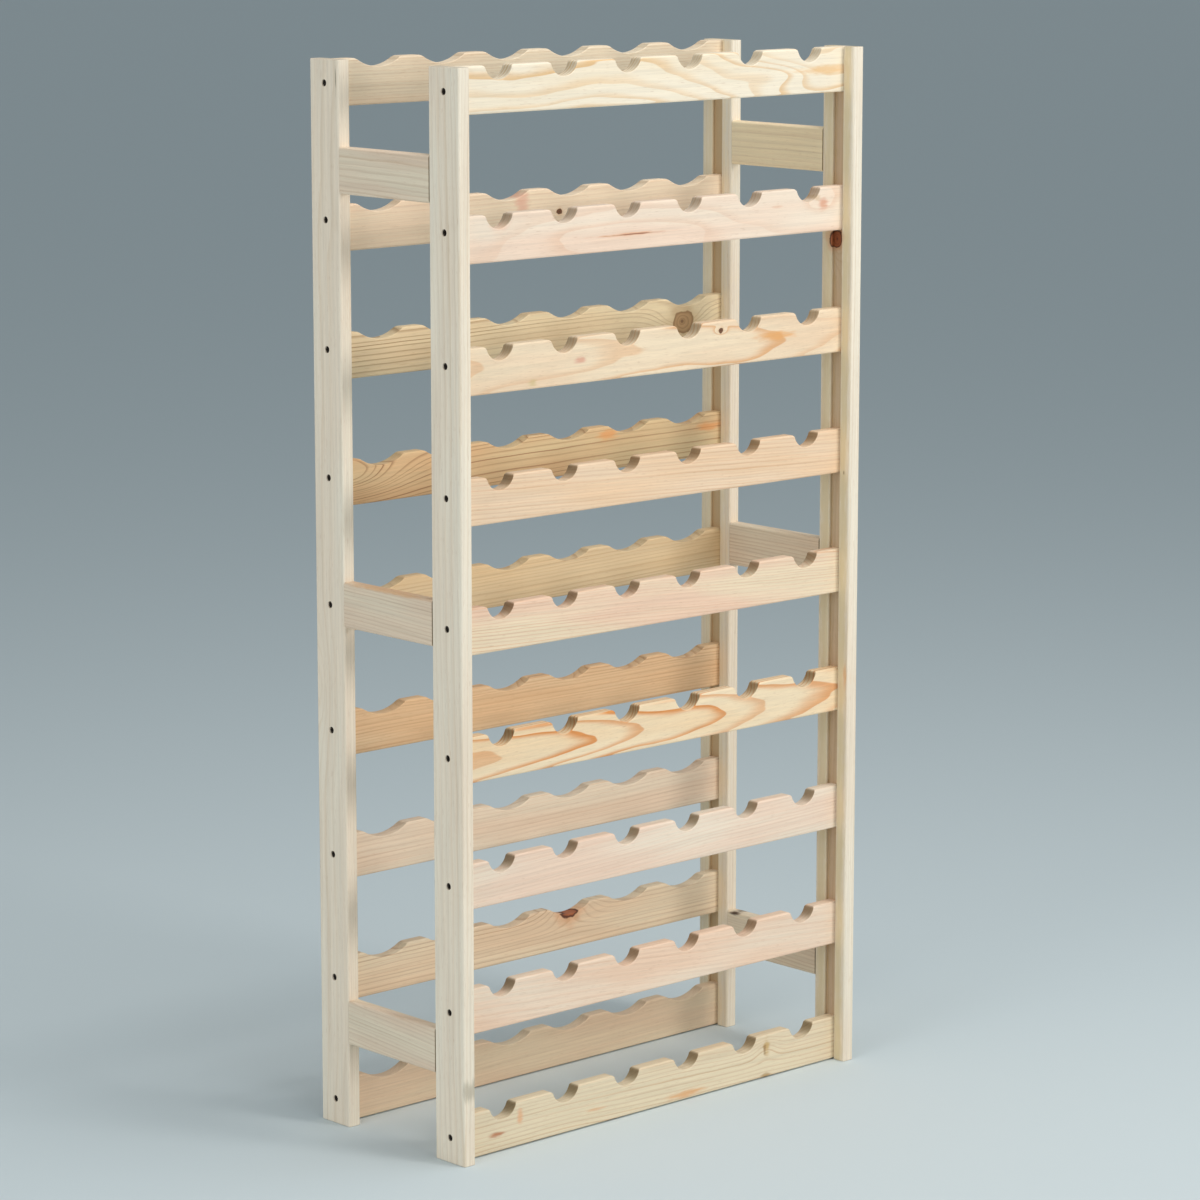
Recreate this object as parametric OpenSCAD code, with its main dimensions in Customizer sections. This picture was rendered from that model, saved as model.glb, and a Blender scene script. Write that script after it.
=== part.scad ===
// Pine wine rack: four grooved posts, nine front rails with neck notches, nine rear rails with body
// scoops, and three side rails on each side. Screws hold the rails, hidden dowels the side rails.
// The origin is on the floor at the middle of the footprint, +Z is up and the bottles' necks face -Y.

/* [Rack] */
// Overall width, across the outer faces of the posts
rack_w = 612; // [600:1:800]
// Overall depth, front face to rear face
rack_d = 248; // [200:1:340]
// Height of the posts
rack_h = 1200; // [1196:1:1260]

/* [Boards] */
// Thickness of the boards
board_t = 16; // [15:0.5:20]
// Width of a post
post_w = 49.3; // [46:0.1:60]
// Height of a front or rear rail
rail_h = 51.5; // [48:0.5:60]
// Height of a side rail
side_rail_h = 51; // [40:0.5:60]
// Radius of the eased long edges
arris_r = 2.5; // [1:0.1:4]
// Depth of the groove that takes the rail ends
groove_d = 4; // [2:0.1:5]

/* [Levels] */
// Number of levels
levels = 9; // [9]
// Height of the lowest rail above the floor
first_level_z = 1; // [0:0.5:4]
// Rise from one level to the next, all but the top one
level_pitch = 141.3; // [138:0.1:142]
// Heights of the three side rails above the floor
side_rail_z = [97, 575.5, 1055];

/* [Bottle places] */
// Places for bottles on a level
places = 6; // [1:1:6]
// Distance between bottle centres
place_pitch = 94; // [88:0.5:95]
// Radius of a neck notch
notch_r = 19.5; // [16:0.5:20]
// Depth of a neck notch
notch_depth = 16; // [12:0.5:17]
// Radius of a neck notch's shoulders
notch_shoulder_r = 5; // [4:0.5:10]
// Radius of a body scoop
scoop_r = 56; // [40:1:60]
// Depth of a body scoop
scoop_depth = 10.2; // [6:0.1:11]
// Radius of a body scoop's shoulders
scoop_shoulder_r = 10; // [6:0.5:12]

/* [Fasteners] */
// Diameter of a screw's shank
screw_d = 4; // [3:0.1:4.5]
// Diameter of a screw's head
screw_head_d = 7.6; // [6.5:0.1:9]
// Length of a screw
screw_length = 40; // [30:1:42]
// Depth of a screw head below the post's face
screw_sink = 1.5; // [0.5:0.1:2]
// Height of the lowest screw above the floor
screw_first_z = 28.6; // [22:0.1:32]
// Rise from one screw to the next, all but the top one
screw_pitch = 142.4; // [141:0.1:142.5]
// Diameter of a dowel
dowel_d = 6; // [5:0.5:7]
// Length of a dowel
dowel_length = 30; // [24:1:34]
// Distance between the two dowels of a joint
dowel_gap = 26; // [18:1:30]

/* [Hidden] */
$fn = 48;

over = 1;                                     // how far a cut runs past a face
bite = 0.03;                                  // how far a cradle's shoulder bites into its arc
groove_web = board_t - groove_d;              // wood left behind a groove
rail_l = rack_w - 2 * groove_web;             // length of a front or rear rail
side_rail_l = rack_d - 2 * post_w;            // length of a side rail
place_x = [for (i = [0 : places - 1]) (i - (places - 1) / 2) * place_pitch];
rail_z = [for (i = [0 : levels - 1])
    i < levels - 1 ? first_level_z + i * level_pitch : rack_h - rail_h];
screw_z = [for (i = [0 : levels - 1])
    i < levels - 1 ? screw_first_z + i * screw_pitch : rack_h - rail_h / 2];
screw_head_h = (screw_head_d - screw_d) / 2;  // a 90 degree countersink
screw_clearance = 0.2;                        // the post's hole is this much wider than the shank
screw_tip = 5;                                // length of a screw's point
recess_l = 4.4;                               // size of the cross recess in a screw's head
recess_w = 1.1;
recess_d = 1.6;
dowel_in_post = 14;                           // how deep a dowel stands in the post's edge
dowel_chamfer = 1;
glue_room = 0.5;                              // space past a dowel's end
post_color = "#ECDFC4";
rail_color = "#E9D2AE";
side_rail_color = "#DDD0B2";
screw_color = "#3A3632";
dowel_color = "#C9A777";

// A rectangle from the origin with four rounded corners
module eased_rectangle(w, h) {
    translate([arris_r, 0]) square([w - 2 * arris_r, h]);
    translate([0, arris_r]) square([w, h - 2 * arris_r]);
    for (x = [arris_r, w - arris_r], y = [arris_r, h - arris_r])
        translate([x, y]) circle(arris_r);
}

// The outline cut from a rail's top edge, centred on x = 0 with the edge at y = 0: an arc of radius
// r and the given depth, which runs into the edge by two shoulders of radius s. Each shoulder bites
// a hair into the arc and the edge, so that the curves cross and don't only touch
module cradle_outline(r, depth, s) {
    arc_y = r - depth;
    shoulder_y = bite - s;
    shoulder_x = sqrt(pow(r + s - bite, 2) - pow(arc_y - shoulder_y, 2));
    meet_x = shoulder_x * r / (r + s);
    meet_y = arc_y + (shoulder_y - arc_y) * r / (r + s);
    intersection() {
        translate([0, arc_y]) circle(r, $fn = 96);
        translate([-r - over, -depth - over]) square([2 * (r + over), depth + 2 * over]);
    }
    difference() {
        polygon([
            [-shoulder_x, over], [shoulder_x, over], [shoulder_x, shoulder_y],
            [meet_x, meet_y], [-meet_x, meet_y], [-shoulder_x, shoulder_y]
        ]);
        for (side = [-1, 1])
            translate([side * shoulder_x, shoulder_y]) circle(s);
    }
}

// The front of a rail, from its bottom edge up, with a cradle at each bottle place
module rail_outline(r, depth, s) {
    difference() {
        translate([-rail_l / 2, 0]) square([rail_l, rail_h]);
        for (x = place_x)
            translate([x, rail_h]) cradle_outline(r, depth, s);
    }
}

// The section of a rail: its bottom edges are eased, and the top ones stay square for the cradles
module rail_section() {
    eased_rectangle(board_t, rail_h);
    translate([0, rail_h / 2]) square([board_t, rail_h / 2]);
}

// A rail centred on x = 0 and y = 0 with its bottom edge at z = 0, with a pilot hole in each end
// at the given height
module rail(r, depth, s, pilot_z) {
    color(rail_color)
    difference() {
        intersection() {
            translate([0, board_t / 2, 0])
                rotate([90, 0, 0])
                    linear_extrude(board_t) rail_outline(r, depth, s);
            translate([-rail_l / 2, -board_t / 2, 0])
                rotate([90, 0, 90])
                    linear_extrude(rail_l) rail_section();
        }
        for (side = [-1, 1])
            translate([side * rack_w / 2, 0, pilot_z])
                rotate([0, -90 * side, 0]) screw_body();
    }
}

module front_rail(level) {
    translate([0, -rack_d / 2 + post_w / 2, rail_z[level]])
        rail(notch_r, notch_depth, notch_shoulder_r, screw_z[level] - rail_z[level]);
}

module rear_rail(level) {
    translate([0, rack_d / 2 - post_w / 2, rail_z[level]])
        rail(scoop_r, scoop_depth, scoop_shoulder_r, screw_z[level] - rail_z[level]);
}

// A screw without its recess, with the post's outer face at z = 0 and its point along +Z
module screw_body() {
    translate([0, 0, screw_sink])
        cylinder(h = screw_head_h, d1 = screw_head_d, d2 = screw_d);
    translate([0, 0, screw_sink + screw_head_h])
        cylinder(h = screw_length - screw_head_h - screw_tip, d = screw_d);
    translate([0, 0, screw_sink + screw_length - screw_tip])
        cylinder(h = screw_tip, d1 = screw_d, d2 = screw_d / 8);
}

module screw() {
    difference() {
        screw_body();
        for (turn = [0, 90])
            translate([0, 0, screw_sink]) rotate([0, 0, turn])
                cube([recess_l, recess_w, 2 * recess_d], center = true);
    }
}

// What is drilled from a post's outer face for a screw
module screw_hole() {
    translate([0, 0, -over]) cylinder(h = over + screw_sink, d = screw_head_d);
    translate([0, 0, screw_sink])
        cylinder(h = screw_head_h, d1 = screw_head_d, d2 = screw_d);
    cylinder(h = board_t + over, d = screw_d + screw_clearance);
}

// Puts its children at each screw of the left or right, front or rear post, pointing inwards.
// side is -1 for left and 1 for right, and end is -1 for front and 1 for rear
module at_screws(side, end) {
    for (z = screw_z)
        translate([side * rack_w / 2, end * (rack_d - post_w) / 2, z])
            rotate([0, -90 * side, 0]) children();
}

// Puts its children at each dowel of one side rail, along Y and centred on the dowel
module at_dowels(side, z, ends = [-1, 1]) {
    for (end = ends, step = [-0.5, 0.5])
        translate([
            side * (rack_w - board_t) / 2,
            end * (side_rail_l / 2 + dowel_in_post - dowel_length / 2),
            z + side_rail_h / 2 + step * dowel_gap
        ])
            rotate([90, 0, 0]) children();
}

module dowel_hole() {
    cylinder(h = dowel_length + 2 * glue_room, d = dowel_d, center = true);
}

module dowel() {
    cylinder(h = dowel_length - 2 * dowel_chamfer, d = dowel_d, center = true);
    for (end = [0, 1])
        mirror([0, 0, end])
            translate([0, 0, dowel_length / 2 - dowel_chamfer])
                cylinder(h = dowel_chamfer, d1 = dowel_d, d2 = dowel_d - dowel_chamfer);
}

// A post: side is -1 for left and 1 for right, and end is -1 for front and 1 for rear
module post(side, end) {
    color(post_color)
    difference() {
        translate([side < 0 ? -rack_w / 2 : rack_w / 2 - board_t,
                   end < 0 ? -rack_d / 2 : rack_d / 2 - post_w, 0])
            linear_extrude(rack_h) eased_rectangle(board_t, post_w);
        translate([side * (rack_w / 2 - groove_web - board_t), end * (rack_d - post_w) / 2, rack_h / 2])
            cube([2 * board_t, board_t, rack_h + 2 * over], center = true);
        at_screws(side, end) screw_hole();
        for (z = side_rail_z)
            at_dowels(side, z, [end]) dowel_hole();
    }
}

module side_rail(side, z) {
    color(side_rail_color)
    difference() {
        translate([side < 0 ? -rack_w / 2 : rack_w / 2 - board_t, side_rail_l / 2, z])
            rotate([90, 0, 0])
                linear_extrude(side_rail_l) eased_rectangle(board_t, side_rail_h);
        at_dowels(side, z) dowel_hole();
    }
}

module screws(side, end) {
    color(screw_color) at_screws(side, end) screw();
}

module dowels(side, z) {
    color(dowel_color) at_dowels(side, z) dowel();
}

post(-1, -1);  // front_left_post
post(1, -1);  // front_right_post
post(-1, 1);  // rear_left_post
post(1, 1);  // rear_right_post
front_rail(0);  // front_rail_1
front_rail(1);  // front_rail_2
front_rail(2);  // front_rail_3
front_rail(3);  // front_rail_4
front_rail(4);  // front_rail_5
front_rail(5);  // front_rail_6
front_rail(6);  // front_rail_7
front_rail(7);  // front_rail_8
front_rail(8);  // front_rail_9
rear_rail(0);  // rear_rail_1
rear_rail(1);  // rear_rail_2
rear_rail(2);  // rear_rail_3
rear_rail(3);  // rear_rail_4
rear_rail(4);  // rear_rail_5
rear_rail(5);  // rear_rail_6
rear_rail(6);  // rear_rail_7
rear_rail(7);  // rear_rail_8
rear_rail(8);  // rear_rail_9
side_rail(-1, side_rail_z[0]);  // left_lower_side_rail
side_rail(-1, side_rail_z[1]);  // left_middle_side_rail
side_rail(-1, side_rail_z[2]);  // left_upper_side_rail
side_rail(1, side_rail_z[0]);  // right_lower_side_rail
side_rail(1, side_rail_z[1]);  // right_middle_side_rail
side_rail(1, side_rail_z[2]);  // right_upper_side_rail
screws(-1, -1);  // front_left_screws
screws(1, -1);  // front_right_screws
screws(-1, 1);  // rear_left_screws
screws(1, 1);  // rear_right_screws
dowels(-1, side_rail_z[0]);  // left_lower_dowels
dowels(-1, side_rail_z[1]);  // left_middle_dowels
dowels(-1, side_rail_z[2]);  // left_upper_dowels
dowels(1, side_rail_z[0]);  // right_lower_dowels
dowels(1, side_rail_z[1]);  // right_middle_dowels
dowels(1, side_rail_z[2]);  // right_upper_dowels
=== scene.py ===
"""The looks of a pine wine rack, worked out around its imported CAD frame.

The boards are new pieces: each is an outline carried through its thickness with eased edges. Their
pine is a solid pattern, a log of growth rings that every board is sawn from at its own place, so
the rings run on round the edges and show as end grain inside the notches. The screws and the dowels
are the CAD's own."""

import math

import bmesh
import bpy
import numpy as np
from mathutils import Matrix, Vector


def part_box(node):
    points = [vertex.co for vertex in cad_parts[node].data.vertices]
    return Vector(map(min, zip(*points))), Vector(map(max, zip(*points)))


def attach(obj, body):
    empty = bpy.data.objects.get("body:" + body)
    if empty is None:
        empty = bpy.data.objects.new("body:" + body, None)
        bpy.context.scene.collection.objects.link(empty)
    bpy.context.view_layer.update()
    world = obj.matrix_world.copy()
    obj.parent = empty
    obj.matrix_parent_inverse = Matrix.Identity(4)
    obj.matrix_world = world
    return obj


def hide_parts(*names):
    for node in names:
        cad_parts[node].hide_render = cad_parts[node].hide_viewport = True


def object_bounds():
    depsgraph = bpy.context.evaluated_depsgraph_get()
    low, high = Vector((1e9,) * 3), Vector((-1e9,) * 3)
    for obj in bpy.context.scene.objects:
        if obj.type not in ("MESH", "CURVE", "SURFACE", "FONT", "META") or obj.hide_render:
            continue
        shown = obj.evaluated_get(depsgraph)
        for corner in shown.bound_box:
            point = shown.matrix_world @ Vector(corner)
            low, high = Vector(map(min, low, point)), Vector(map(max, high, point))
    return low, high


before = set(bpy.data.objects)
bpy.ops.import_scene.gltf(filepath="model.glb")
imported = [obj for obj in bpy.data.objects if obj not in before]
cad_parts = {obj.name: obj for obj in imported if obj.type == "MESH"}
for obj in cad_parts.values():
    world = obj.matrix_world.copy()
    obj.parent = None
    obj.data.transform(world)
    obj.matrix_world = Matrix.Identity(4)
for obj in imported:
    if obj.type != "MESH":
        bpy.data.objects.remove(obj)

CAD_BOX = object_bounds()
MM = 0.001

# ---------------------------------------------------------------------------------------------
# Sizes that the frame's boxes don't say, in metres
# ---------------------------------------------------------------------------------------------

PLACES = 6                        # bottle places on a level
PLACE_PITCH = 94 * MM             # between bottle centres
NOTCH = (19.5 * MM, 16 * MM, 5 * MM)       # radius, depth and shoulder radius of a neck notch
SCOOP = (56 * MM, 10.2 * MM, 10 * MM)      # radius, depth and shoulder radius of a body scoop
GROOVE_DEPTH = 4 * MM             # groove down a post's inner face
EDGE_EASE = 2.5 * MM              # rounding of a post's or a rail's long edges
SIDE_RAIL_EASE = 3.2 * MM         # rounding of a side rail's long edges
CUT_EASE = 1.1 * MM               # rounding of a sawn or routed edge
POST_END_EASE = 0.9 * MM          # rounding of a post's head and foot
BUTT_EASE = 0.3 * MM              # rounding of a side rail's butted ends
SCREW_R = 2 * MM                  # a screw's shank, and its pilot hole in a rail's end
SCREW_HOLE_R = 2.1 * MM           # the clearance hole through a post
HEAD_R = 3.8 * MM                 # a screw's head
HEAD_SINK = 1.5 * MM              # depth of a screw's head below the post's face
RIM = 0.35 * MM                   # crushed rim of a screw's hole
PILOT_DEPTH = 29.5 * MM           # pilot hole in a rail's end
PILOT_TIP = 5 * MM                # length of its tapered tip
MILLED_AND_SHADE = 0.8                      # how much darker a groove's floor is painted, from 0 to 1: shade of the recess and the router's duller cut
OUTER_SQUARE = 7 * MM             # half side of the square of faces round a screw's head
FLOOR_SQUARE = 5 * MM             # half side of the one round its hole in the groove's floor

# How finely a surface is divided, and how near counts as touching
EASE_STEPS = 5                    # facets across a rounded edge
CORNER_STEPS = 6                  # facets round a corner of a post's or side rail's section
LIP_STEPS = 4                     # facets round a lip of the groove
SHOULDER_STEPS = 8                # facets round a cradle's shoulder
CRADLE_STEPS = 26                 # facets round a cradle
HOLE_POINTS = 32                  # points round a hole
WELD = 2e-6                       # points nearer than this are welded, in metres
ON_FACE = 1e-5                    # points nearer than this to a face are on it, in metres
SHARP = math.radians(50)          # faces that turn more than this meet in a sharp edge


def smooth(t):
    """0 below 0, 1 above 1, and a smooth S between."""
    t = np.clip(t, 0, 1)
    return t * t * (3 - 2 * t)


def points_of(mesh):
    """A mesh's points, one to a row."""
    at = np.empty(len(mesh.vertices) * 3, np.float32)
    mesh.vertices.foreach_get("co", at)
    return at.reshape(-1, 3)


def middle_of(node):
    """The middle of a CAD node's box."""
    low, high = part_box(node)
    return (low + high) / 2


# ---------------------------------------------------------------------------------------------
# Surfaces
# ---------------------------------------------------------------------------------------------


def arc(centre, radius, start, end, steps):
    """Points of a circle from one angle to another, in degrees."""
    t = np.radians(np.linspace(start, end, steps + 1))
    return np.stack([centre[0] + radius * np.cos(t), centre[1] + radius * np.sin(t)], 1)


def mitres(outline):
    """For each point of a closed anticlockwise outline, the step that moves both of its sides
    outwards by one: the sum of the two sides' normals over one plus their dot product."""
    side = np.roll(outline, -1, 0) - outline
    side /= np.linalg.norm(side, axis=1)[:, None]
    ahead = np.stack([side[:, 1], -side[:, 0]], 1)
    behind = np.roll(ahead, 1, 0)
    return (ahead + behind) / (1 + (ahead * behind).sum(1))[:, None]


class Skin:
    """The points and faces of one closed surface, gathered in parts and then welded."""

    def __init__(self):
        self.points = []
        self.faces = []
        self.count = 0

    def add(self, points, faces):
        """Takes in points, and faces that are given by the places of their points among these."""
        self.points.append(np.asarray(points, float).reshape(-1, 3))
        self.faces += [[int(i) + self.count for i in face] for face in faces]
        self.count += len(self.points[-1])

    def piece(self, name):
        """The welded surface as an object with smooth faces, whose normals follow the larger
        faces, so that flats stay flat beside their rounded edges."""
        mesh = bpy.data.meshes.new(name)
        mesh.from_pydata(np.concatenate(self.points).tolist(), [], self.faces)
        work = bmesh.new()
        work.from_mesh(mesh)
        bmesh.ops.remove_doubles(work, verts=work.verts, dist=WELD)
        bmesh.ops.recalc_face_normals(work, faces=work.faces)
        for edge in work.edges:
            edge.smooth = len(edge.link_faces) == 2 and edge.calc_face_angle() < SHARP
        for face in work.faces:
            face.smooth = True
        work.to_mesh(mesh)
        work.free()
        piece = bpy.data.objects.new(name, mesh)
        bpy.context.scene.collection.objects.link(piece)
        weighted = piece.modifiers.new("flat faces", "WEIGHTED_NORMAL")
        weighted.keep_sharp = True
        return piece


def carried(skin, outline, low, high, ease, place, open_sides=()):
    """An outline carried from one level to another. Within its own ease of each end it draws in
    along a quarter circle: in by ease times one less the sine, up by ease times one less the
    cosine. place turns outline points and levels into points in space. open_sides are the sides,
    by their first point, that are left out between the two rounded ends."""
    ease = np.broadcast_to(ease, len(outline))
    turn = np.linspace(0, math.pi / 2, EASE_STEPS + 1)[:, None]
    inset = ease * (1 - np.sin(turn))
    rise = ease * (1 - np.cos(turn))
    plan = outline[None] - mitres(outline)[None] * inset[..., None]
    plan = np.concatenate([plan, plan[::-1]])
    level = np.concatenate([low + rise, (high - rise)[::-1]])
    rings, around = level.shape
    first = (np.arange(rings - 1)[:, None] * around + np.arange(around)).ravel()
    here = np.arange(around)
    after = np.tile((here + 1) % around - here, rings - 1)
    quads = np.stack([first, first + after, first + after + around, first + around], 1)
    middle = np.repeat(np.arange(rings - 1) == EASE_STEPS, around)
    opened = np.tile(np.isin(here, list(open_sides)), rings - 1)
    quads = quads[~(middle & opened)]
    last = (rings - 1) * around
    caps = [here[::-1].tolist(), (here + last).tolist()]
    skin.add(place(plan[..., 0].ravel(), plan[..., 1].ravel(), level.ravel()),
             quads.tolist() + caps)


HOLE_TURN = np.linspace(0, 2 * math.pi, HOLE_POINTS, endpoint=False)


def pierced(skin, across, along, centres, half, radius, place):
    """A flat strip with round holes on its middle line. Round each hole a square of quads runs
    from the circle to the same angles on the square's rim, and plain strips fill the rest.
    across and along are the strip's ends, and half is half a square's side."""
    ray = np.stack([np.cos(HOLE_TURN), np.sin(HOLE_TURN)], 1)
    square = half * ray / np.abs(ray).max(1)[:, None]
    here = np.arange(HOLE_POINTS)
    after = (here + 1) % HOLE_POINTS
    quads = np.stack([here, after, after + HOLE_POINTS, here + HOLE_POINTS], 1)
    for centre in centres:
        both = np.concatenate([radius * ray, square]) + (0, centre)
        skin.add(place(both[:, 0], both[:, 1]), quads.tolist())
    for side, edge in zip((-1, 1), across):
        on_side = np.sort(square[np.isclose(square[:, 0], side * half)][:, 1])
        stops = np.concatenate([[along[0]], *[c + on_side for c in centres], [along[1]]])
        loop = np.concatenate([
            [(edge, along[1]), (edge, along[0])],
            np.stack([np.full(len(stops), side * half), stops], 1)
        ])
        skin.add(place(loop[:, 0], loop[:, 1]), [range(len(loop))])
    on_end = np.sort(square[np.isclose(square[:, 1], half)][:, 0])
    lows = [along[0]] + [c + half for c in centres]
    highs = [c - half for c in centres] + [along[1]]
    for i, (low, high) in enumerate(zip(lows, highs)):
        bottom = on_end if i > 0 else np.array([-half, half])
        top = on_end if i < len(centres) else np.array([-half, half])
        loop = np.concatenate([
            np.stack([bottom, np.full(len(bottom), low)], 1),
            np.stack([top[::-1], np.full(len(top), high)], 1)
        ])
        skin.add(place(loop[:, 0], loop[:, 1]), [range(len(loop))])


def framed(skin, across, along, centre, radius, place):
    """A rectangle with one round hole: four flat faces, each between a side of the rectangle and
    the quarter of the circle that faces it."""
    corners = np.array([(across[1], along[1]), (across[0], along[1]), (across[0], along[0]),
                        (across[1], along[0])])
    turn = HOLE_TURN + math.pi / 4
    circle = np.stack([radius * np.cos(turn), centre + radius * np.sin(turn)], 1)
    quarter = HOLE_POINTS // 4
    both = np.concatenate([circle, corners])
    faces = []
    for i in range(4):
        inner = [(i * quarter + k) % HOLE_POINTS for k in range(quarter + 1)]
        faces.append([HOLE_POINTS + i, HOLE_POINTS + (i + 1) % 4] + inner[::-1])
    skin.add(place(both[:, 0], both[:, 1]), faces)


def bored(skin, profile, place, blind=False):
    """The wall of a round hole: a profile of radius and depth pairs turned about its axis. A blind
    hole is closed at its deep end."""
    profile = np.array(profile)
    bands = len(profile) - 1
    turn = HOLE_TURN + math.pi / 4
    radius, depth = profile[:, :1], profile[:, 1:]
    here = np.arange(HOLE_POINTS)
    first = (np.arange(bands)[:, None] * HOLE_POINTS + here).ravel()
    step = np.tile((here + 1) % HOLE_POINTS - here, bands)
    quads = np.stack([first, first + step, first + step + HOLE_POINTS, first + HOLE_POINTS], 1)
    faces = quads.tolist()
    if blind:
        faces.append((here + bands * HOLE_POINTS).tolist())
    skin.add(place((radius * np.cos(turn)).ravel(), (radius * np.sin(turn)).ravel(),
                   (depth + 0 * turn).ravel()), faces)


# ---------------------------------------------------------------------------------------------
# Boards
# ---------------------------------------------------------------------------------------------


def cradle_edge(x, top, radius, depth, shoulder):
    """The top edge at one bottle place, from right to left: a shoulder's arc down, the cradle's
    arc, and the other shoulder's arc up. The shoulder circles touch the edge from below and the
    cradle's circle from outside, which gives their distance from the middle by Pythagoras."""
    rise = radius - depth
    reach = math.sqrt((radius + shoulder) ** 2 - (rise + shoulder) ** 2)
    lean = math.degrees(math.atan2(rise + shoulder, reach))
    return np.concatenate([
        arc((x + reach, top - shoulder), shoulder, 90, 180 - lean, SHOULDER_STEPS),
        arc((x, top + rise), radius, -lean, lean - 180, CRADLE_STEPS)[1:-1],
        arc((x - reach, top - shoulder), shoulder, lean, 90, SHOULDER_STEPS)
    ])


def notched_rail(node, cradle):
    """A front or rear rail: its outline, cut with the cradles, carried through its thickness.
    The long edges are well rounded and the cradles' edges only eased."""
    low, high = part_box(node)
    height = high.z - low.z
    xs = (np.arange(PLACES) - (PLACES - 1) / 2) * PLACE_PITCH
    outline = np.concatenate([
        [(low.x, 0), (high.x, 0), (high.x, height)],
        *[cradle_edge(x, height, *cradle) for x in xs[::-1]],
        [(low.x, height)]
    ])
    # Distance below the top edge, and 0 in the lower half
    below = np.where(outline[:, 1] > height / 2, height - outline[:, 1], 0)
    ease = CUT_EASE + (EDGE_EASE - CUT_EASE) * (1 - smooth(below / EDGE_EASE))
    skin = Skin()
    carried(skin, outline, low.y, high.y, ease,
            lambda x, z, y: np.stack([x, y, z + low.z], 1), open_sides=(1, len(outline) - 1))
    middle_y = (low.y + high.y) / 2
    pilot_z = nearest_screw(low.z, high.z)
    half_t = (high.y - low.y) / 2 - EDGE_EASE
    for end, inwards in ((low.x, 1), (high.x, -1)):
        framed(skin, (-half_t, half_t), (low.z, high.z), pilot_z, SCREW_R,
               lambda a, b: np.stack([end + 0 * a, middle_y + a, b], 1))
        bored(skin, [(SCREW_R, 0), (SCREW_R, PILOT_DEPTH - PILOT_TIP), (SCREW_R / 4, PILOT_DEPTH)],
              lambda a, b, d: np.stack([end + inwards * d, middle_y + a, pilot_z + b], 1),
              blind=True)
    return skin.piece(node + "_board")


def screw_heights():
    """The heights of the screws' axes, from the gaps between the nine solids of a screw node."""
    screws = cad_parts["front_left_screws"]
    z = np.sort(points_of(screws.data)[:, 2].astype(float))
    cut = np.flatnonzero(np.diff(z) > HEAD_R)
    starts = np.concatenate([[0], cut + 1])
    ends = np.concatenate([cut, [len(z) - 1]])
    return (z[starts] + z[ends]) / 2


SCREW_Z = screw_heights()


def nearest_screw(low, high):
    """The height of the screw that lies between two heights."""
    return float(SCREW_Z[(SCREW_Z > low) & (SCREW_Z < high)][0])


def post(node, side, end):
    """A grooved post: its section carried up, with the screws' holes let into its outer face.
    side is -1 for left and 1 for right, end -1 for front and 1 for rear. In the section, u runs
    from the outer face inwards and v from the post's front or rear edge."""
    low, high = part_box(node)
    thick, wide = (high - low).xy
    outer_x = low.x if side < 0 else high.x
    edge_y = low.y if end < 0 else high.y
    rail_low, rail_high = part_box("front_rail_1" if end < 0 else "rear_rail_1")
    groove = sorted(abs(y - edge_y) for y in (rail_low.y, rail_high.y))
    floor = thick - GROOVE_DEPTH
    middle = (groove[0] + groove[1]) / 2
    r, lip = EDGE_EASE, CUT_EASE
    parts = [
        arc((thick - r, r), r, -90, 0, CORNER_STEPS),
        arc((thick - lip, groove[0] - lip), lip, 0, 90, LIP_STEPS),
        [(floor, groove[0]), (floor, middle - FLOOR_SQUARE),
         (floor, middle + FLOOR_SQUARE), (floor, groove[1])],
        arc((thick - lip, groove[1] + lip), lip, -90, 0, LIP_STEPS),
        arc((thick - r, wide - r), r, 0, 90, CORNER_STEPS),
        arc((r, wide - r), r, 90, 180, CORNER_STEPS),
        [(0, middle + OUTER_SQUARE), (0, middle - OUTER_SQUARE)],
        arc((r, r), r, 180, 270, CORNER_STEPS)
    ]
    outline = np.concatenate(parts)
    starts = np.cumsum([0] + [len(p) for p in parts])
    # Left open for the pierced strips: part 2, the groove's floor, and part 6, the outer face
    floor_sides = [starts[2] + i for i in range(3)]
    outer_sides = [starts[6] + i for i in (-1, 0, 1)]

    def place(u, v, z):
        return np.stack([outer_x - side * u, edge_y - end * v, z], 1)

    skin = Skin()
    carried(skin, outline, low.z, high.z, POST_END_EASE, place,
            open_sides=floor_sides + outer_sides)
    heights = [float(z) for z in SCREW_Z]
    span = (low.z + POST_END_EASE, high.z - POST_END_EASE)
    pierced(skin, (r - middle, wide - r - middle), span, heights, OUTER_SQUARE, HEAD_R + RIM,
            lambda a, b: place(0 * a, middle + a, b))
    pierced(skin, (groove[0] - middle, groove[1] - middle), span, heights, FLOOR_SQUARE,
            SCREW_HOLE_R, lambda a, b: place(floor + 0 * a, middle + a, b))
    seat = HEAD_SINK + HEAD_R - SCREW_R  # depth at which the countersink ends
    for z in heights:
        bored(skin, [(HEAD_R + RIM, 0), (HEAD_R + RIM / 4, RIM / 3), (HEAD_R, RIM),
                     (HEAD_R, HEAD_SINK), (SCREW_HOLE_R, seat), (SCREW_HOLE_R, floor)],
              lambda a, b, d, z=z: place(d, middle + a, z + b))
    piece = skin.piece(node + "_board")
    # The pine reads this attribute: how much darker the groove's floor is painted, as shade in the
    # recess and the router's duller cut
    x, y, _ = points_of(piece.data).T
    from_floor = np.abs(np.abs(x - outer_x) - floor)
    from_middle = np.abs(np.abs(y - edge_y) - middle)
    in_groove = (from_floor < ON_FACE) & (from_middle < (groove[1] - groove[0]) / 2 + ON_FACE)
    milled_and_shade = piece.data.attributes.new("milled_and_shade", "FLOAT", "POINT")
    milled_and_shade.data.foreach_set("value", np.where(in_groove, MILLED_AND_SHADE, 0).astype(np.float32))
    return piece


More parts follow.
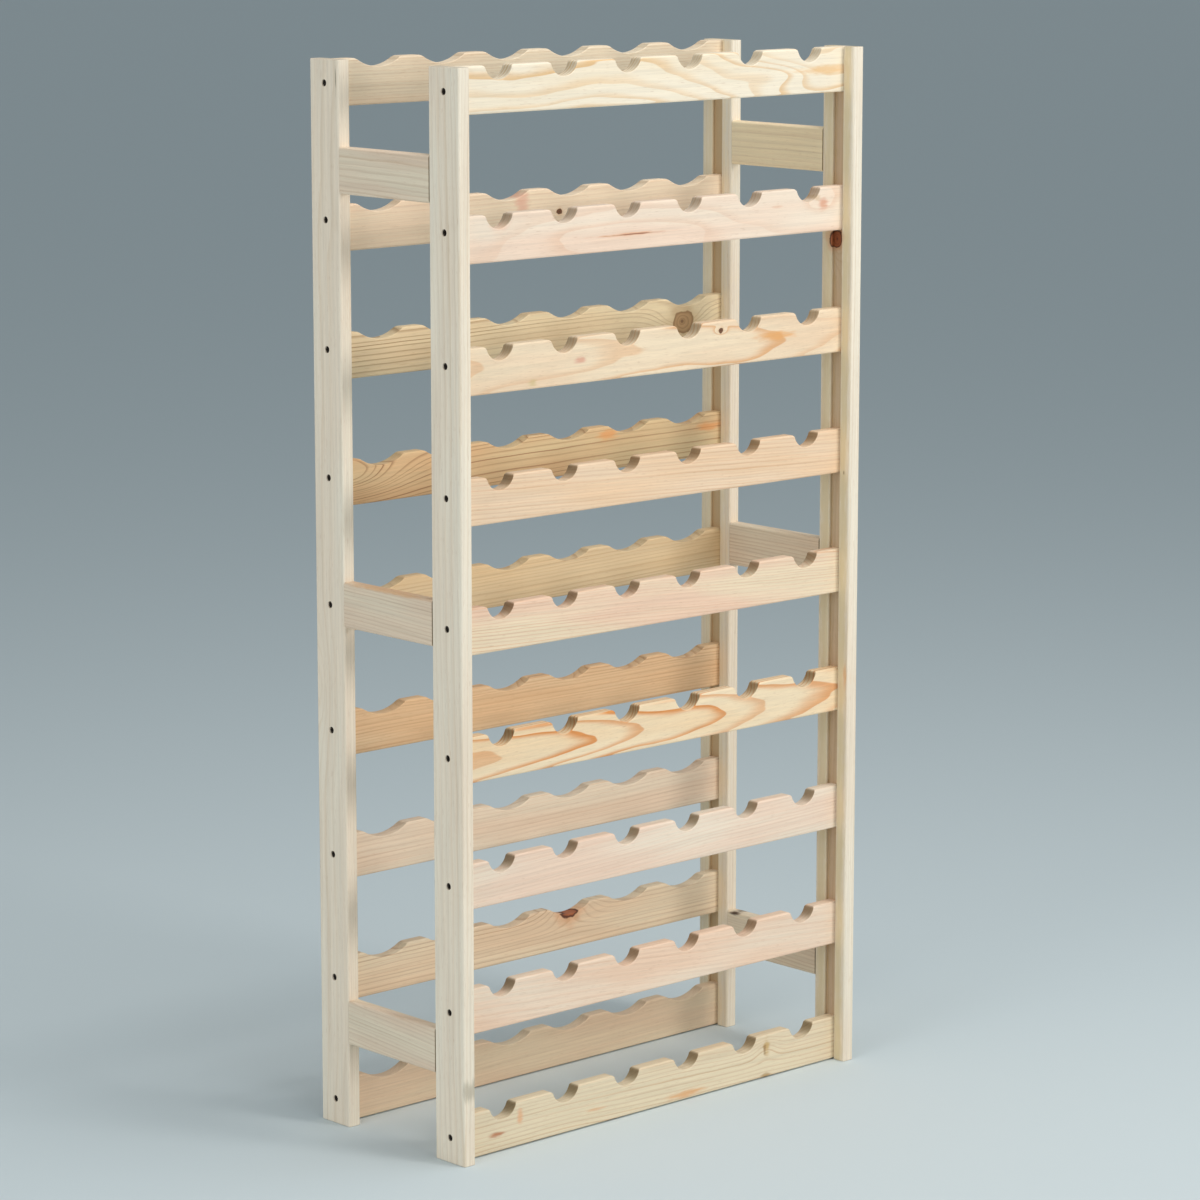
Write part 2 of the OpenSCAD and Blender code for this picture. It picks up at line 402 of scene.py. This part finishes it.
def side_rail(node):
    """A side rail: a rectangle with round corners carried from post to post."""
    low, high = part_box(node)
    thick, tall, r = high.x - low.x, high.z - low.z, SIDE_RAIL_EASE
    outline = np.concatenate([
        arc((thick - r, r), r, -90, 0, CORNER_STEPS),
        arc((thick - r, tall - r), r, 0, 90, CORNER_STEPS),
        arc((r, tall - r), r, 90, 180, CORNER_STEPS),
        arc((r, r), r, 180, 270, CORNER_STEPS)
    ])
    skin = Skin()
    carried(skin, outline, low.y, high.y, BUTT_EASE,
            lambda x, z, y: np.stack([low.x + x, y, low.z + z], 1))
    return skin.piece(node + "_board")


# ---------------------------------------------------------------------------------------------
# Materials
# ---------------------------------------------------------------------------------------------


def srgb(red, green, blue):
    """A colour given as 0 to 255, as the linear values that a shader takes."""
    c = np.array([red, green, blue]) / 255
    linear = np.where(c <= 0.04045, c / 12.92, ((c + 0.055) / 1.055) ** 2.4)
    return (*linear.tolist(), 1.0)


class Graph:
    """Adds nodes to a shader tree. An input is another node's output or a plain value."""

    def __init__(self, tree):
        self.tree = tree

    def put(self, kind, inputs=(), **settings):
        """A new node with its settings and inputs, which go by name or number."""
        made = self.tree.nodes.new(kind)
        for name, value in settings.items():
            setattr(made, name, value)
        for key, value in dict(inputs).items():
            if isinstance(value, bpy.types.NodeSocket):
                self.tree.links.new(value, made.inputs[key])
            else:
                made.inputs[key].default_value = value
        return made

    def math(self, operation, a, b=0.0, c=0.0):
        inputs = {0: a, 1: b, 2: c}
        return self.put("ShaderNodeMath", inputs, operation=operation).outputs[0]

    def vector(self, operation, a, b=(0, 0, 0)):
        made = self.put("ShaderNodeVectorMath", {0: a, 1: b}, operation=operation)
        return made.outputs[1 if operation == "LENGTH" else 0]

    def noise(self, at, scale=1.0, detail=2.0, roughness=0.5, colour=False):
        inputs = {"Vector": at, "Scale": scale, "Detail": detail, "Roughness": roughness}
        return self.put("ShaderNodeTexNoise", inputs).outputs[1 if colour else 0]

    def span(self, value, low, high, to_low=0.0, to_high=1.0):
        """A smooth S from one level to another while the value goes from low to high."""
        inputs = {0: value, 1: low, 2: high, 3: to_low, 4: to_high}
        return self.put("ShaderNodeMapRange", inputs, interpolation_type="SMOOTHSTEP").outputs[0]

    def mix(self, amount, a, b, blend="MIX"):
        inputs = {0: amount, 6: a, 7: b}
        return self.put("ShaderNodeMix", inputs, data_type="RGBA", blend_type=blend).outputs[2]

    def split(self, at):
        return self.put("ShaderNodeSeparateXYZ", {0: at}).outputs

    def join(self, x, y, z):
        return self.put("ShaderNodeCombineXYZ", {0: x, 1: y, 2: z}).outputs[0]

    def finish(self, shader):
        """Makes a shader node the material's surface."""
        self.put("ShaderNodeOutputMaterial", {0: shader.outputs[0]})


def empty_material(name):
    """A material without nodes, and the graph that adds them."""
    material = bpy.data.materials.new(name)
    material.use_nodes = True
    material.node_tree.nodes.clear()
    return material, Graph(material.node_tree)


def group_sockets(tree, **ways):
    """Gives a node group its named inputs and outputs, and returns its two end nodes."""
    for way, sockets in ways.items():
        for name, kind in sockets.items():
            tree.interface.new_socket(name, in_out=way, socket_type="NodeSocket" + kind)
    return tree.nodes.new("NodeGroupInput"), tree.nodes.new("NodeGroupOutput")


# How many cells of noise a metre of pine has, along the log and in the two ways across it
WANDER = (3.2, 9, 9)              # the slow drift of the rings
RIPPLE = (16, 70, 70)             # the small quick one on it
FIBRES = (22, 1300, 1300)
STRANDS = (5, 260, 260)           # bundles of fibres
FLECKS = (90, 1900, 1900)         # resin ducts
BLOTCHES = (3.5, 24, 24)          # where the wood blushes
PATCHES = (3, 14, 14)             # where the rings show more or less
STAIN_EDGES = (60, 330, 330)      # how ragged a stain is
# The pattern's other measures
RIPPLE_SIZE = 2 * MM
LOG_STEP = 1.37                   # metres along the log from one seed's board to the next
UNEVEN_CELLS = 70.0               # how often the rings grow tighter or wider, along a radius
UNEVEN = 1.6                      # and by up to how many rings
LATE_PEAK = 0.93                  # share of a ring at which its late wood is darkest
LATE_END = 0.955                  # share of a ring from which it fades out
BUMP_DEPTH = 0.0002               # height of the raised late wood and fibres, in metres
FLECK_TINT = srgb(176, 128, 84)


def pine_group():
    """Bare pine as a solid pattern. At is a place in the log in metres, X along it and the pith on
    Y = 0, Z = 0. The ring number is the distance from the pith, plus a bulge, over the ring width,
    and slow noise makes it wander. Within a ring the wood stays pale, darkens into late wood over
    the last share of the ring, and ends sharply. Fibres, flecks and slow blotches are noise drawn
    out along the log."""
    tree = bpy.data.node_groups.new("pine", "ShaderNodeTree")
    into, out = group_sockets(tree, INPUT={
        "At": "Vector", "Bulge": "Float", "Sway": "Float", "Ring width": "Float",
        "Late share": "Float", "Contrast": "Float", "Early wood": "Color", "Late wood": "Color",
        "Blush": "Color"
    }, OUTPUT={"Color": "Color", "Roughness": "Float", "Height": "Float"})
    g = Graph(tree)
    at, across = into.outputs["At"], into.outputs["Sway"]

    def grain(cells, **options):
        """Noise in the log, by its cells in a metre of each direction."""
        return g.noise(g.vector("MULTIPLY", at, cells), **options)

    def drift(cells, detail, reach):
        """A noisy step either way, whose size in each direction is up to half of reach."""
        either_way = g.vector("SUBTRACT", grain(cells, detail=detail, colour=True), (0.5, 0.5, 0.5))
        return g.vector("MULTIPLY", either_way, reach)

    sway = drift(WANDER, 1.5, g.join(0.0, across, across))
    ripple = drift(RIPPLE, 1.0, (0, RIPPLE_SIZE, RIPPLE_SIZE))
    moved = g.vector("ADD", g.vector("ADD", at, sway), ripple)
    radius = g.math("ADD", g.vector("LENGTH", g.vector("MULTIPLY", moved, (0, 1, 1))),
                    into.outputs["Bulge"])
    uneven = g.noise(g.join(g.math("MULTIPLY", radius, UNEVEN_CELLS), 3.3, 7.7), detail=0.0)
    rings = g.math("ADD", g.math("DIVIDE", radius, into.outputs["Ring width"]),
                   g.math("MULTIPLY", uneven, UNEVEN))
    phase = g.math("FRACT", rings)
    strong = g.put("ShaderNodeTexWhiteNoise", {"W": g.math("FLOOR", rings)},
                   noise_dimensions="1D").outputs[0]
    start = g.math("SUBTRACT", LATE_PEAK, into.outputs["Late share"])
    late = g.math("MULTIPLY", g.span(phase, start, LATE_PEAK),
                  g.span(phase, LATE_END, 1.0, 1.0, 0.0))
    late = g.math("MULTIPLY", g.math("POWER", late, 1.3), g.span(strong, 0.0, 1.0, 0.45, 1.0))
    fibre = grain(FIBRES, roughness=0.6)
    strand = grain(STRANDS)
    fleck = g.span(grain(FLECKS, detail=0.0), 0.7, 0.8)
    blotch = grain(BLOTCHES)
    patch = grain(PATCHES, detail=1.0)
    base = g.mix(g.span(blotch, 0.36, 0.66), into.outputs["Early wood"], into.outputs["Blush"])
    amount = g.math("MULTIPLY", late, g.math("MULTIPLY", into.outputs["Contrast"],
                                             g.span(patch, 0.3, 0.7, 0.65, 1.25)))
    colour = g.mix(g.math("MINIMUM", amount, 1.0), base, into.outputs["Late wood"])
    shade = g.math("ADD", g.span(fibre, 0.25, 0.75, -0.05, 0.03),
                   g.span(strand, 0.3, 0.7, -0.05, 0.03))
    lift = g.math("ADD", 1.0, shade)
    colour = g.mix(1.0, colour, g.join(lift, lift, lift), "MULTIPLY")
    colour = g.mix(g.math("MULTIPLY", fleck, 0.25), colour, FLECK_TINT)
    rough = g.math("ADD", g.span(fibre, 0.2, 0.8, 0.66, 0.52), g.math("MULTIPLY", late, -0.06))
    height = g.math("ADD", g.math("MULTIPLY", fibre, 0.5), g.math("MULTIPLY", late, 0.45))
    for name, socket in (("Color", colour), ("Roughness", rough), ("Height", height)):
        tree.links.new(socket, out.inputs[name])
    return tree


PINE = pine_group()


def from_place(g, along, across, place, scale):
    """The distance from a place on a board's face, given in millimetres, after both directions
    are multiplied by a scale."""
    flat = g.join(g.math("SUBTRACT", along, place[0] * MM),
                  g.math("SUBTRACT", across, place[1] * MM), 0.0)
    return g.vector("LENGTH", g.vector("MULTIPLY", flat, (*scale, 0)))


def bell(g, along, across, place, half_length, half_width):
    """1 at a place on a board's face, falling off as exp(-d squared), where d is the distance with
    the two half sizes as its units. All sizes are in millimetres."""
    d = from_place(g, along, across, place, (1000 / half_length, 1000 / half_width))
    return g.math("EXPONENT", g.math("MULTIPLY", g.math("MULTIPLY", d, d), -1.0))


# Halo, wood, rings and rim of each kind of knot
KNOTS = {
    "pin": ((226, 180, 132), (120, 78, 50), (60, 38, 26), (52, 32, 22)),
    "brown": ((214, 182, 136), (186, 148, 104), (136, 100, 68), (152, 118, 80)),
    "dead": ((222, 158, 108), (176, 104, 64), (120, 62, 40), (66, 36, 26))
}
KNOT_HUMP = (3.2, 1.5, 1.8)       # half length, half width and rise of the hump, in knot radii
KNOT_SQUASH = (0.85, 1.0)         # along the board and across: a knot is a little longer than wide
KNOT_RINGS = 3.3                  # rings from a knot's middle to its rim
END_GRAIN_AND_SHADE_TINT = (0.27, 0.22, 0.13, 1)  # share of the red, green and blue left on end grain, deepened as painted shade
MILLED_AND_SHADE_TINT = (0.6, 0.46, 0.32, 1)         # and on a groove's floor, as painted shade of the recess and the router's duller cut


def pine(name, start, along, pith=(60, 0), lean=(20, 3), ring=4.0, share=0.45, contrast=0.5,
         sway=14, seed=None, early=(238, 222, 194), late=(205, 158, 104), blush=(238, 206, 174),
         swells=(), knots=(), stains=(), end_grain_and_shade=0.85):
    """The pine of one board, in millimetres. start is the board's middle, in metres, and along its
    long axis (0, 1 or 2 for X, Y or Z). pith is the log's heart from the middle in the two other
    axes, and lean how far it drifts in them over a metre of length. A swell is (place, half length,
    half width, rise), a hump in the rings such as grows over a buried branch. A knot is (place,
    radius, kind) and a stain (place, half length, half width, colour, strength). A place is along
    the board and across its face, from the middle. The last argument is how much darker the faces
    across the fibres are made, from 0 to 1: real end grain, deepened by painted shade."""
    material, g = empty_material(name)
    here = g.put("ShaderNodeTexCoord").outputs["Object"]
    axes = g.split(g.vector("SUBTRACT", here, tuple(start)))
    others = [i for i in range(3) if i != along]
    length, face = axes[along], axes[others[1]]
    heart = [g.math("MULTIPLY_ADD", length, -lean[i] * MM, -pith[i] * MM) for i in (0, 1)]
    if seed is None:
        seed = sum(ord(c) * (i + 3) for i, c in enumerate(name)) % 97
    at = g.join(g.math("ADD", length, LOG_STEP * seed), g.math("ADD", axes[others[0]], heart[0]),
                g.math("ADD", face, heart[1]))
    bulge = 0.0
    for place, half_length, half_width, rise in swells:
        hump = bell(g, length, face, place, half_length, half_width)
        bulge = g.math("MULTIPLY_ADD", hump, rise * MM, bulge)
    cores = []
    for place, radius, kind in knots:
        # A round branch through the board, which the rings bow out round
        hump = bell(g, length, face, place, KNOT_HUMP[0] * radius, KNOT_HUMP[1] * radius)
        bulge = g.math("MULTIPLY_ADD", hump, KNOT_HUMP[2] * radius * MM, bulge)
        warp = g.span(g.noise(here, scale=0.5 / (radius * MM), detail=3.0), 0.2, 0.8, 0.74, 1.28)
        apart = from_place(g, length, face, place, KNOT_SQUASH)
        cores.append((g.math("DIVIDE", g.math("MULTIPLY", apart, warp), radius * MM), kind))
    wood = g.put("ShaderNodeGroup", {
        "At": at, "Bulge": bulge, "Sway": sway * MM, "Ring width": ring * MM, "Late share": share,
        "Contrast": contrast, "Early wood": srgb(*early), "Late wood": srgb(*late),
        "Blush": srgb(*blush)
    }, node_tree=PINE)
    colour, height = wood.outputs["Color"], wood.outputs["Height"]
    for place, half_length, half_width, tint, strength in stains:
        ragged = g.noise(g.vector("MULTIPLY", at, STAIN_EDGES))
        spread = g.math("ADD", bell(g, length, face, place, half_length, half_width),
                        g.span(ragged, 0.25, 0.75, -0.25, 0.15))
        colour = g.mix(g.span(spread, 0.15, 0.95, 0.0, strength), colour, srgb(*tint))
    for apart, kind in cores:
        halo, branch, ring_tint, rim = KNOTS[kind]
        colour = g.mix(g.span(apart, 2.1, 0.95, 0.0, 0.5), colour, srgb(*halo))
        rings = g.math("FRACT", g.math("MULTIPLY", apart, KNOT_RINGS))
        inside = g.mix(g.span(rings, 0.35, 1.0, 0.0, 0.45), srgb(*branch), srgb(*ring_tint))
        edge = g.span(g.math("ABSOLUTE", g.math("SUBTRACT", apart, 0.97)), 0.14, 0.03, 0.0, 0.85)
        inside = g.mix(edge, inside, srgb(*rim))
        inside = g.mix(g.span(apart, 0.22, 0.08), inside, srgb(*ring_tint))
        colour = g.mix(g.span(apart, 1.1, 0.97), colour, inside)
        height = g.math("SUBTRACT", height, g.span(apart, 1.15, 0.95, 0.0, 0.4))
    # Faces cut across the fibres are darker and warmer: real end grain, deepened by painted shade
    facing = g.split(g.put("ShaderNodeNewGeometry").outputs["Normal"])[along]
    ends = g.span(g.math("ABSOLUTE", facing), 0.25, 0.92, 0.0, end_grain_and_shade)
    # A groove's floor is painted darker as shade in the recess, with a little for the router's
    # duller cut
    milled_and_shade = g.put("ShaderNodeAttribute", attribute_name="milled_and_shade").outputs["Fac"]
    colour = g.mix(ends, colour, g.mix(1.0, colour, END_GRAIN_AND_SHADE_TINT, "MULTIPLY"))
    colour = g.mix(milled_and_shade, colour, g.mix(1.0, colour, MILLED_AND_SHADE_TINT, "MULTIPLY"))
    bump = g.put("ShaderNodeBump", {"Strength": 0.35, "Distance": BUMP_DEPTH, "Height": height})
    shader = g.put("ShaderNodeBsdfPrincipled", {
        "Base Color": colour, "Roughness": wood.outputs["Roughness"], "Normal": bump.outputs[0],
        "Specular IOR Level": 0.35
    })
    g.finish(shader)
    return material


def dark_steel():
    """Black phosphated steel: near black, a little brown, duller in patches."""
    material, g = empty_material("black steel")
    here = g.put("ShaderNodeTexCoord").outputs["Object"]
    patch = g.noise(here, scale=900.0, detail=3.0)
    grit = g.noise(here, scale=6000.0, detail=1.0)
    colour = g.mix(g.span(patch, 0.3, 0.7), srgb(34, 31, 29), srgb(62, 52, 44))
    rough = g.span(patch, 0.3, 0.7, 0.38, 0.6)
    bump = g.put("ShaderNodeBump", {"Strength": 0.3, "Distance": 0.00005, "Height": grit})
    shader = g.put("ShaderNodeBsdfPrincipled", {
        "Base Color": colour, "Roughness": rough, "Metallic": 0.7, "Normal": bump.outputs[0]
    })
    g.finish(shader)
    return material


# ---------------------------------------------------------------------------------------------
# The rack
# ---------------------------------------------------------------------------------------------

# How each board was sawn from its log, and what it shows, as pine takes it
# The darkening across the fibres holds painted shade, so it is set lighter on the upper rails,
# which catch more light
TIMBER = {
    "front_rail_9": dict(
        pith=(190, 48), lean=(2, 0), ring=4.4, share=0.5, contrast=0.85, sway=15, seed=5,
        swells=[((250, 0), 165, 300, -26), ((185, -2), 60, 15, 9)],
        early=(246, 234, 212), blush=(245, 230, 204), late=(226, 178, 112), end_grain_and_shade=0.4,
        stains=[((265, 1), 55, 6, (234, 186, 120), 0.65)]),
    "front_rail_8": dict(
        pith=(70, 4), lean=(2, 2), ring=4.2, share=0.5, contrast=0.5, sway=12,
        early=(243, 226, 206), blush=(243, 216, 194), late=(222, 168, 128), end_grain_and_shade=0.6,
        swells=[((-40, -6), 190, 24, 13), ((256, 12), 34, 16, 6)],
        stains=[((-45, -8.5), 60, 2.2, (228, 164, 116), 0.6),
                ((-40, -8.7), 40, 0.9, (150, 92, 66), 0.85),
                ((-235, 14), 16, 9, (238, 190, 160), 0.5), ((259, 6), 9, 8, (222, 162, 132), 0.85),
                ((249, 14), 7, 4, (206, 170, 124), 0.5)]),
    "front_rail_7": dict(
        pith=(64, 2), lean=(34, 0), ring=4.4, share=0.4, contrast=0.6, sway=22, seed=11,
        early=(242, 222, 192), blush=(240, 212, 180), late=(222, 158, 96), end_grain_and_shade=0.65,
        knots=[((96, 15), 2.8, "pin")],
        stains=[((185, 2), 34, 6, (232, 168, 100), 0.75), ((-118, 0), 10, 4, (220, 158, 134), 0.75),
                ((-188, -19), 7, 4, (204, 182, 124), 0.6)]),
    "front_rail_6": dict(
        pith=(14, 150), lean=(0, -42), ring=4.0, share=0.5, contrast=0.45, sway=8,
        early=(239, 212, 182), blush=(240, 206, 170), late=(212, 156, 108)),
    "front_rail_5": dict(
        pith=(30, -140), lean=(10, -45), ring=3.6, share=0.45, contrast=0.52, sway=10,
        early=(240, 220, 190), blush=(240, 206, 180), late=(216, 158, 112)),
    "front_rail_4": dict(
        pith=(54, -2), lean=(33, 0), ring=4.2, share=0.5, contrast=1.0, sway=17, seed=7,
        early=(243, 222, 188), blush=(243, 214, 174), late=(222, 146, 80)),
    "front_rail_3": dict(
        pith=(40, 120), lean=(0, 30), ring=4.4, share=0.5, contrast=0.24, sway=16,
        early=(240, 224, 204), blush=(240, 212, 190), late=(218, 168, 134)),
    "front_rail_2": dict(
        pith=(58, 60), lean=(0, -70), ring=4.4, share=0.5, contrast=0.26, sway=20,
        early=(240, 220, 198), blush=(240, 208, 182), late=(220, 166, 124)),
    "front_rail_1": dict(
        pith=(50, 88), lean=(8, -20), ring=4.2, share=0.42, contrast=0.45, sway=18,
        early=(232, 216, 186), blush=(228, 206, 174), late=(196, 146, 92),
        swells=[((177, 9), 20, 16, 8)],
        stains=[((177, 11), 6, 11, (202, 166, 106), 0.85), ((174, 8), 3, 7, (150, 112, 66), 0.8),
                ((176, -24), 9, 4, (176, 140, 90), 0.85),
                ((-245, -6), 12, 3, (186, 112, 70), 0.85), ((-210, 8), 5, 12, (232, 172, 126), 0.7),
                ((45, -19), 34, 4.5, (228, 164, 104), 0.7),
                ((-95, -8), 16, 2, (226, 170, 120), 0.6)]),
    "rear_rail_9": dict(
        pith=(8, 190), lean=(0, 0), ring=3.4, share=0.5, contrast=0.4, sway=5,
        early=(238, 220, 192), blush=(236, 212, 182), late=(206, 164, 120)),
    "rear_rail_8": dict(
        pith=(-20, -160), lean=(0, 12), ring=4.2, share=0.5, contrast=0.32, sway=12,
        early=(242, 221, 192), blush=(239, 213, 184), late=(206, 158, 118),
        knots=[((31, -2), 3, "pin")], stains=[((-26, 14), 12, 16, (224, 160, 136), 0.6)]),
    "rear_rail_7": dict(
        pith=(16, -120), lean=(0, 14), ring=5.4, share=0.34, contrast=0.8, sway=9,
        early=(232, 212, 174), blush=(230, 204, 164), late=(160, 118, 76),
        knots=[((226, -2), 13.5, "brown")]),
    "rear_rail_6": dict(
        pith=(20, -110), lean=(0, 16), ring=6.2, share=0.34, contrast=0.85, sway=9,
        early=(222, 196, 152), blush=(224, 184, 138), late=(160, 104, 62),
        swells=[((-288, 4), 84, 26, 44)],
        stains=[((108, 16), 18, 7, (236, 160, 92), 0.7), ((272, 10), 26, 6, (234, 158, 92), 0.7)]),
    "rear_rail_5": dict(
        pith=(30, -150), lean=(0, 20), ring=4.6, share=0.45, contrast=0.45, sway=12,
        early=(228, 202, 162), blush=(228, 198, 154), late=(184, 140, 98)),
    "rear_rail_4": dict(
        pith=(-24, 150), lean=(0, -10), ring=4.2, share=0.5, contrast=0.5, sway=14,
        early=(232, 200, 160), blush=(230, 190, 146), late=(190, 136, 92)),
    "rear_rail_3": dict(
        pith=(40, 100), lean=(0, 10), ring=4.6, share=0.4, contrast=0.42, sway=14,
        early=(238, 220, 196), blush=(236, 210, 184), late=(198, 152, 110)),
    "rear_rail_2": dict(
        pith=(10, 130), lean=(0, 0), ring=4.6, share=0.36, contrast=0.6, sway=8,
        early=(238, 218, 188), blush=(236, 208, 176), late=(184, 138, 96),
        knots=[((48, 25), 13, "dead")]),
    "rear_rail_1": dict(
        pith=(-60, 90), lean=(10, 10), ring=3.6, share=0.5, contrast=0.22, sway=14,
        early=(226, 206, 176), blush=(226, 198, 168), late=(196, 154, 118))
}

POST_PINE = dict(early=(243, 233, 214), late=(206, 176, 136), blush=(240, 225, 204), ring=3.4,
                 share=0.5, contrast=0.26, sway=10, end_grain_and_shade=0.35)
POSTS = {
    "front_left_post": dict(
        pith=(120, 60), lean=(4, 10), stains=[((-515, -25), 14, 4, (168, 160, 140), 0.6)]),
    "front_right_post": dict(
        pith=(-110, 50), lean=(6, -8), knots=[((379, 3), 8, "dead")],
        stains=[((0, -14), 2000, 8, (226, 208, 166), 0.8),
                ((0, 14), 2000, 10, (226, 208, 166), 0.7),
                ((-132, -20), 16, 4, (230, 176, 120), 0.6),
                ((108, -15), 3, 1.6, (140, 112, 78), 0.7)]),
    "rear_left_post": dict(
        pith=(130, -40), lean=(4, 6), swells=[((-90, 16), 60, 12, 7)],
        stains=[((578, -20), 14, 1.2, (128, 116, 92), 0.8)]),
    "rear_right_post": dict(
        pith=(-100, -60), lean=(4, 8), stains=[((0, 4), 2000, 26, (240, 220, 178), 0.6)])
}
SIDE_PINE = dict(early=(234, 220, 196), late=(190, 154, 116), blush=(230, 208, 184), ring=4.0,
                 share=0.5, contrast=0.4, sway=10)
SIDE_RAILS = {
    "left_lower": dict(pith=(30, -90), lean=(0, 60)),
    "left_middle": dict(
        pith=(20, 110), lean=(0, 40), stains=[((0, 25), 90, 3, (214, 160, 104), 0.6)]),
    "left_upper": dict(pith=(60, 50), lean=(0, 20)),
    "right_lower": dict(
        pith=(-40, 100), lean=(0, 30), stains=[((62, 24), 10, 2.5, (60, 40, 28), 0.95)]),
    "right_middle": dict(pith=(-10, -120), lean=(0, 10), contrast=0.6),
    "right_upper": dict(pith=(-70, 40), lean=(0, 10), early=(246, 228, 192), blush=(240, 214, 178))
}


def finish_piece(piece, node, along, timber):
    """Gives a board its own pine, and puts it in its CAD node's place."""
    piece.data.materials.append(pine(node + " pine", middle_of(node), along, **timber))
    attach(piece, "root")
    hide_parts(node)


def build():
    """Makes the four posts, the eighteen notched rails and the six side rails."""
    for node, side, end in (("front_left_post", -1, -1), ("front_right_post", 1, -1),
                            ("rear_left_post", -1, 1), ("rear_right_post", 1, 1)):
        finish_piece(post(node, side, end), node, 2, POST_PINE | POSTS[node])
    for node, timber in TIMBER.items():
        front = node.startswith("front")
        piece = notched_rail(node, NOTCH if front else SCOOP)
        finish_piece(piece, node, 0, timber)
    for name, timber in SIDE_RAILS.items():
        node = name + "_side_rail"
        finish_piece(side_rail(node), node, 1, SIDE_PINE | timber)


build()

# The screws and the dowels are the CAD's own, with a finish
steel = dark_steel()
beech = pine("dowel beech", middle_of("left_lower_dowels"), 1, pith=(40, 40), lean=(0, 0),
             ring=1.5, contrast=0.3, early=(206, 168, 124), late=(176, 132, 90),
             blush=(198, 156, 114))
for name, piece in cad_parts.items():
    if name.endswith("_screws") or name.endswith("_dowels"):
        piece.data.materials.clear()
        piece.data.materials.append(steel if name.endswith("_screws") else beech)

# ---------------------------------------------------------------------------------------------
# The floor, the light and the camera
# ---------------------------------------------------------------------------------------------

FLOOR_REACH = 60                  # metres from the middle to each edge
FLOOR_COLOUR = srgb(205, 216, 220)
ROOM_COLOUR = srgb(214, 224, 228)
ROOM_LIGHT = 0.47
LAMPS = (                         # name, place and width in metres, power in watts, and tint
    ("key", (1.1, -3.2, 1.35), 1.0, 47, (1.0, 0.955, 0.915)),
    ("fill", (-3.7, -0.7, 1.5), 2.2, 43, (1.0, 0.98, 0.96)),
    ("top", (0.3, -0.9, 3.8), 2.2, 57, (1.0, 0.985, 0.96))
)
CAMERA_PLACE = (-3.2439, -3.5276, 1.4634)
CAMERA_TURN = math.radians(42.69)          # from straight back towards the right
CAMERA_TILT = math.radians(10.46)          # downwards
CAMERA_LENS = 128.06              # in millimetres, for a picture 36 mm wide
SENSOR_WIDTH = 36


def aim(holder, place, forward):
    """Puts a lamp or the camera in its place in the scene, looking along a direction."""
    holder.location = place
    holder.rotation_mode = "QUATERNION"
    holder.rotation_quaternion = forward.to_track_quat("-Z", "Y")
    bpy.context.scene.collection.objects.link(holder)


def studio():
    """A pale floor, an even pale room and three soft lamps that look at the rack's middle."""
    r = FLOOR_REACH
    mesh = bpy.data.meshes.new("floor")
    mesh.from_pydata([(-r, -r, 0), (r, -r, 0), (r, r, 0), (-r, r, 0)], [], [(0, 1, 2, 3)])
    floor = bpy.data.objects.new("floor", mesh)
    bpy.context.scene.collection.objects.link(floor)
    material = bpy.data.materials.new("pale floor")
    material.use_nodes = True
    shader = material.node_tree.nodes["Principled BSDF"]
    shader.inputs["Base Color"].default_value = FLOOR_COLOUR
    shader.inputs["Roughness"].default_value = 0.75
    shader.inputs["Specular IOR Level"].default_value = 0.2
    mesh.materials.append(material)
    world = bpy.data.worlds.new("soft room")
    world.use_nodes = True
    bpy.context.scene.world = world
    sky = world.node_tree.nodes["Background"]
    sky.inputs["Color"].default_value = ROOM_COLOUR
    sky.inputs["Strength"].default_value = ROOM_LIGHT
    middle = (CAD_BOX[0] + CAD_BOX[1]) / 2
    for name, place, width, power, tint in LAMPS:
        lamp = bpy.data.lights.new(name, "AREA")
        lamp.shape = "DISK"
        lamp.size = width
        lamp.energy = power
        lamp.color = tint
        aim(bpy.data.objects.new(name, lamp), place, middle - Vector(place))


def camera():
    """Seen from the front left, a little from above, with a long lens."""
    lens = bpy.data.cameras.new("camera")
    lens.sensor_width = SENSOR_WIDTH
    lens.lens = CAMERA_LENS
    holder = bpy.data.objects.new("camera", lens)
    level = math.cos(CAMERA_TILT)
    forward = Vector((math.sin(CAMERA_TURN) * level, math.cos(CAMERA_TURN) * level,
                      -math.sin(CAMERA_TILT)))
    aim(holder, CAMERA_PLACE, forward)
    bpy.context.scene.camera = holder
    bpy.context.scene.view_settings.view_transform = "Standard"


studio()
camera()
